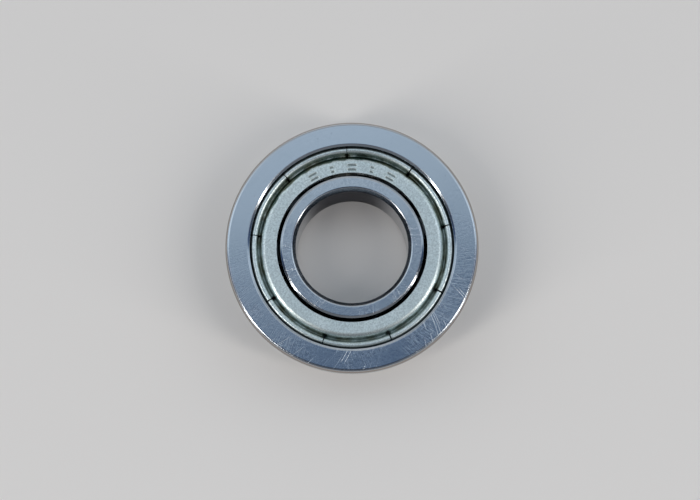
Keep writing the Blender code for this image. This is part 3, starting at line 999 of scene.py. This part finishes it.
def hole_lubricant_and_shade(metal):
    """1 on the lower half of the edge of a shield's hole, darkened partly by the lubricant that wets it
    and partly by painted shade in the gap, and 0 elsewhere.
    """
    from_middle = metal.math("ABSOLUTE", metal.math("SUBTRACT", metal.height, MID_PLANE))
    face = MID_PLANE - SHIELD_RECESS + SHIELD_SHEET / 2
    below = metal.ramp(from_middle, face - 0.09 * MM, face - 0.05 * MM, 1.0, 0.0)
    at_hole = metal.ramp(metal.radius, SHIELD_HOLE_RADIUS + 0.02 * MM, SHIELD_HOLE_RADIUS + 0.06 * MM,
                         1.0, 0.0)
    return metal.math("MULTIPLY", below, at_hole)


def shield_steel(name):
    """Zinc-grey pressed sheet: matte grain, burnished where it is drawn, a little oil in the fold, and
    painted shade at the hole.
    """
    metal = Metal(name)
    grain = metal.noise(metal.place, 8000, 3, 0.75)
    cloud = metal.noise(metal.place, 500, 3)
    brown = metal.ramp(metal.noise(metal.place, 900, 2), 0.4, 0.6)
    oil = shield_oil(metal)
    wet_and_shaded = hole_lubricant_and_shade(metal)
    drawn = metal.math("MAXIMUM", metal.band(metal.radius, SHOULDER_START + 0.2 * MM, 0.25 * MM),
                       metal.band(metal.radius, BEAD_CENTRE[0], 0.25 * MM))

    colour = metal.mix(metal.ramp(cloud, 0.3, 0.7), SHEET_DARK, SHEET_LIGHT)
    colour = metal.mix(metal.ramp(grain, 0.36, 0.64, 0.0, 0.7), colour, SHEET_GRAIN)
    colour = metal.mix(metal.ramp(metal.attribute("stamp"), 0.1, 0.6, 0.0, 0.6), colour, STAMP_SHADE)
    oily = metal.mix(brown, OIL_DARK, OIL_BROWN)
    colour = metal.mix(metal.math("MULTIPLY", oil, 0.93), colour, oily)
    # Painted shade on the lower edge of the hole, partly lubricant, also dimming it and the oil edge-on
    colour = metal.mix(wet_and_shaded, colour, SHEET_LUBRICANT_AND_SHADE)
    metal.dull_edge_on(metal.math("MAXIMUM", wet_and_shaded, oil), SHEET_LUBRICANT_AND_SHADE_EDGE_ON)

    rough = metal.ramp(grain, 0.3, 0.7, 0.36, 0.5)
    rough = metal.math("SUBTRACT", rough, metal.math("MULTIPLY", drawn, 0.1))
    rough = metal.math("SUBTRACT", rough, metal.math("MULTIPLY", oil, 0.1))
    return metal.finish(colour, rough, metal.bump(grain, 0.012 * MM))


def ball_steel(name):
    """Lapped chrome steel: a mirror with the faintest crossing tracks from running."""
    metal = Metal(name)
    track = metal.ramp(metal.noise(metal.place, 1300, 4, 0.65), 0.5, 0.6)
    fine = metal.noise(metal.place, 9000, 3, 0.7)
    colour = metal.mix(metal.math("MULTIPLY", track, 0.25), BALL_COLOUR, BALL_TRACK)
    rough = metal.math("ADD", metal.ramp(fine, 0.3, 0.7, 0.035, 0.07),
                       metal.math("MULTIPLY", track, 0.05))
    return metal.finish(colour, rough, metal.bump(fine, 0.0003 * MM))


def cage_steel(name):
    """Pressed strip: rolled grain, brighter where the press has drawn it over the balls."""
    metal = Metal(name)
    grain = metal.cross_streaks(60, 6, 0.0)
    cloud = metal.noise(metal.place, 1100, 3)
    away = metal.math("ABSOLUTE", metal.math("SUBTRACT", metal.height, MID_PLANE))
    drawn = metal.ramp(away, 0.3 * MM, 1.3 * MM)
    colour = metal.mix(metal.ramp(cloud, 0.3, 0.7), CAGE_DARK, CAGE_LIGHT)
    colour = metal.mix(metal.math("MULTIPLY", drawn, 0.4), colour, CAGE_DRAWN)
    rough = metal.math("SUBTRACT", metal.ramp(grain, 0.3, 0.7, 0.32, 0.42),
                       metal.math("MULTIPLY", drawn, 0.08))
    return metal.finish(colour, rough, metal.bump(grain, 0.002 * MM))


def rivet_steel(name):
    """Headed wire: upset rings on the head and small hammer marks."""
    metal = Metal(name)
    rings = metal.round_streaks(16)
    dents = metal.noise(metal.place, 7000, 2)
    colour = metal.mix(metal.ramp(dents, 0.35, 0.65), RIVET_DARK, RIVET_LIGHT)
    rough = metal.ramp(rings, 0.3, 0.7, 0.24, 0.36)
    relief = metal.bump(rings, 0.0015 * MM)
    relief = metal.bump(dents, 0.006 * MM, 0.7, relief)
    return metal.finish(colour, rough, relief)


# ---------------------------------------------------------------- floor, light and camera

def floor():
    """A wide plain pale floor under the bearing."""
    bm = bmesh.new()
    bmesh.ops.create_circle(bm, cap_ends=True, segments=96, radius=FLOOR_RADIUS)
    bmesh.ops.translate(bm, verts=bm.verts[:], vec=(0, 0, -FLOOR_DROP))
    board = bpy.data.materials.new("pale_floor")
    board.use_nodes = True
    shader = board.node_tree.nodes["Principled BSDF"]
    shader.inputs["Base Color"].default_value = (*FLOOR_COLOUR, 1)
    shader.inputs["Roughness"].default_value = 0.75
    shader.inputs["Specular IOR Level"].default_value = 0.2
    new_piece("pale_floor", bm, board)


def sky():
    """Soft room light: pale beyond the bearing and high at both sides, dim overhead."""
    world = bpy.data.worlds.new("room")
    bpy.context.scene.world = world
    world.use_nodes = True
    nodes = Nodes(world.node_tree)
    direction = nodes.add("ShaderNodeTexCoord").outputs["Generated"]
    split = nodes.add("ShaderNodeSeparateXYZ", Vector=direction).outputs
    near_x = nodes.math("MAXIMUM", nodes.math("MINIMUM", split["X"], SKY_LEAN_REACH), -SKY_LEAN_REACH)
    leaning = nodes.math("ADD", split["Y"], nodes.math("MULTIPLY", near_x, SKY_LEAN))
    half = nodes.math("ADD", nodes.math("MULTIPLY", leaning, 0.5), 0.5)
    ramp = nodes.add("ShaderNodeValToRGB", Fac=half)
    elements = ramp.color_ramp.elements
    while len(elements) < len(SKY_STOPS):
        elements.new(0.5)
    for element, (place, colour) in zip(elements, SKY_STOPS):
        element.position = place / 2 + 0.5
        element.color = (*colour, 1)
    aside = nodes.ramp(nodes.math("ABSOLUTE", split["X"]), *SIDE_SKY_WIDTH, 0.0, SIDE_SKY)
    lift = nodes.math("MULTIPLY", aside, nodes.ramp(split["Z"], *SIDE_SKY_HEIGHT))
    total = nodes.add("ShaderNodeVectorMath", [ramp.outputs["Color"], lift], "ADD").outputs[0]
    nodes.tree.links.new(total, nodes.tree.nodes["Background"].inputs["Color"])


def window(name, azimuth, power):
    """A tall area light aimed at the bearing; azimuth is in degrees, counted from +X towards +Y."""
    light = bpy.data.lights.new(name, "AREA")
    light.shape = "RECTANGLE"
    light.size, light.size_y = WINDOW_SIZE
    light.energy = power
    light.color = WINDOW_COLOUR
    lamp = bpy.data.objects.new(name, light)
    around, up = math.radians(azimuth), math.radians(WINDOW_ELEVATION)
    spot = Vector((math.cos(around) * math.cos(up), math.sin(around) * math.cos(up), math.sin(up)))
    lamp.location = spot * WINDOW_DISTANCE
    lamp.rotation_euler = spot.to_track_quat("Z", "Y").to_euler()
    bpy.context.collection.objects.link(lamp)


def camera():
    """A camera nearly overhead, on the -Y side."""
    data = bpy.data.cameras.new("camera")
    data.sensor_width = SENSOR_WIDTH
    data.lens = SENSOR_WIDTH * CAMERA_DISTANCE / FRAME_WIDTH
    data.clip_start = 1 * MM
    data.clip_end = 10
    item = bpy.data.objects.new("camera", data)
    toward = Vector((0, -math.cos(CAMERA_ELEVATION), math.sin(CAMERA_ELEVATION)))
    item.location = Vector(CAMERA_TARGET) + toward * CAMERA_DISTANCE
    item.rotation_euler = toward.to_track_quat("Z", "Y").to_euler()
    bpy.context.collection.objects.link(item)
    bpy.context.scene.camera = item


def build():
    """Make every piece, then the floor, the light and the camera."""
    ring_metal = ground_steel("ground_ring_steel", RING_LIGHT, RING_DARK, OUTER_CALM)
    inner_metal = ground_steel("ground_inner_steel", INNER_LIGHT, INNER_DARK, INNER_CALM)
    sheet_metal = shield_steel("pressed_shield_steel")
    cage_metal = cage_steel("pressed_cage_steel")
    ball_metal = ball_steel("lapped_ball_steel")
    rivet_metal = rivet_steel("headed_rivet_steel")
    outer_ring(ring_metal)
    inner_ring(inner_metal)
    shield("front_shield_plate", "shield_front", True, sheet_metal)
    shield("back_shield_plate", "shield_back", False, sheet_metal)
    for k in range(BALL_COUNT):
        angle = k * BALL_PITCH
        centre = Vector((PITCH_RADIUS * math.cos(angle), PITCH_RADIUS * math.sin(angle), MID_PLANE))
        ball(f"polished_ball_{k + 1}", f"ball_{k + 1}", centre, ball_metal)
        angle += BALL_PITCH / 2
        centre = Vector((PITCH_RADIUS * math.cos(angle), PITCH_RADIUS * math.sin(angle), MID_PLANE))
        rivet(f"domed_rivet_{k + 1}", f"rivet_{k + 1}", centre, rivet_metal)
    ribbon("front_ribbon", "cage_half_front", 0, cage_metal)
    ribbon("back_ribbon", "cage_half_back", math.pi, cage_metal)
    floor()
    sky()
    for name, azimuth, power in WINDOWS:
        window(name, azimuth, power)
    camera()
    bpy.context.scene.view_settings.view_transform = "Standard"


build()
